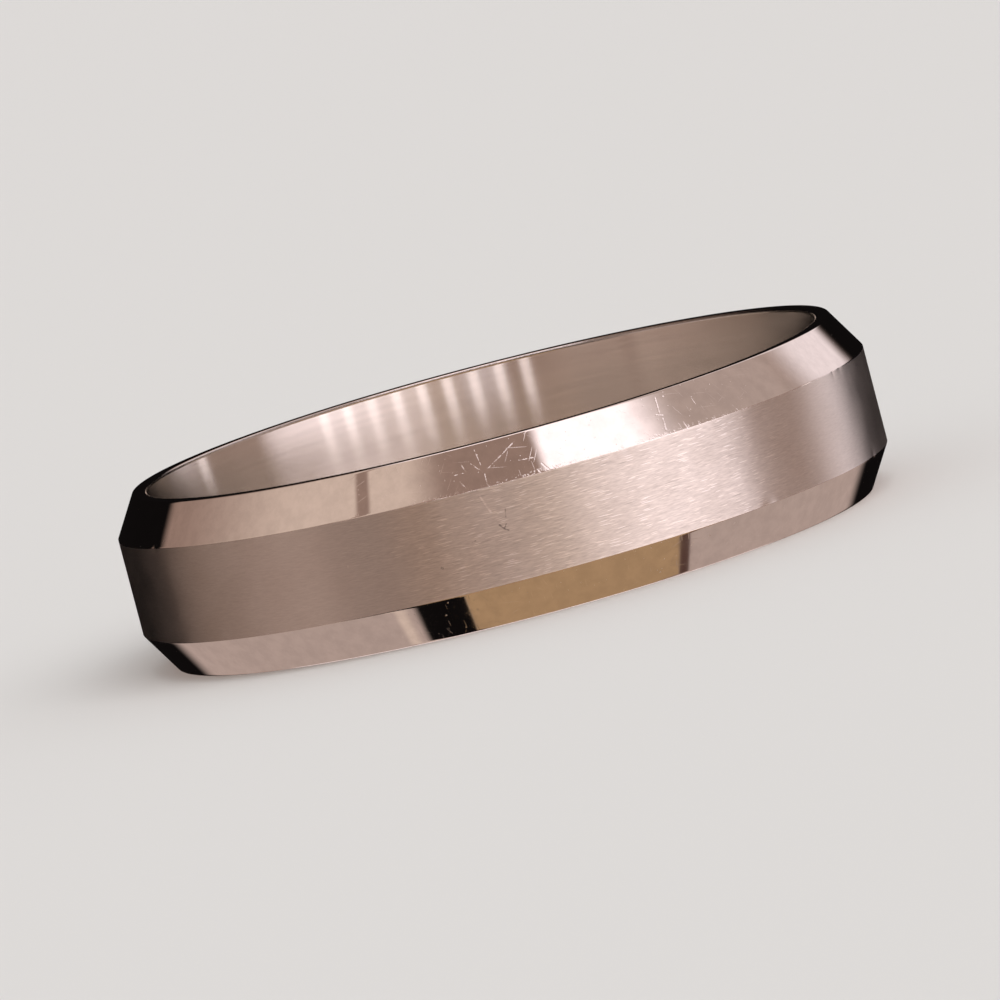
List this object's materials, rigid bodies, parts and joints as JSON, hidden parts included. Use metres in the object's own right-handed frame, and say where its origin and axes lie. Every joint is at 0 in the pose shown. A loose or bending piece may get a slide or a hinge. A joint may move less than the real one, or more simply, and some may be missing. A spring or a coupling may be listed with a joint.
{
  "type": "wedding band",
  "caption": "Plain finger ring in white metal, with a satin strip round the middle, polished bevels on both sides and a crowned bore.",
  "frame": {"origin": "centre of the finger hole in the plane of the lower rim, which the band lies on", "axes": "+Z along the finger, from the lower rim to the upper rim; X and Y across the finger"},
  "size_m": [0.0214, 0.0214, 0.005],
  "materials": {
    "white_metal": "satin"
  },
  "bodies": {
    "root": {"band": "white_metal"}
  },
  "joints": []
}
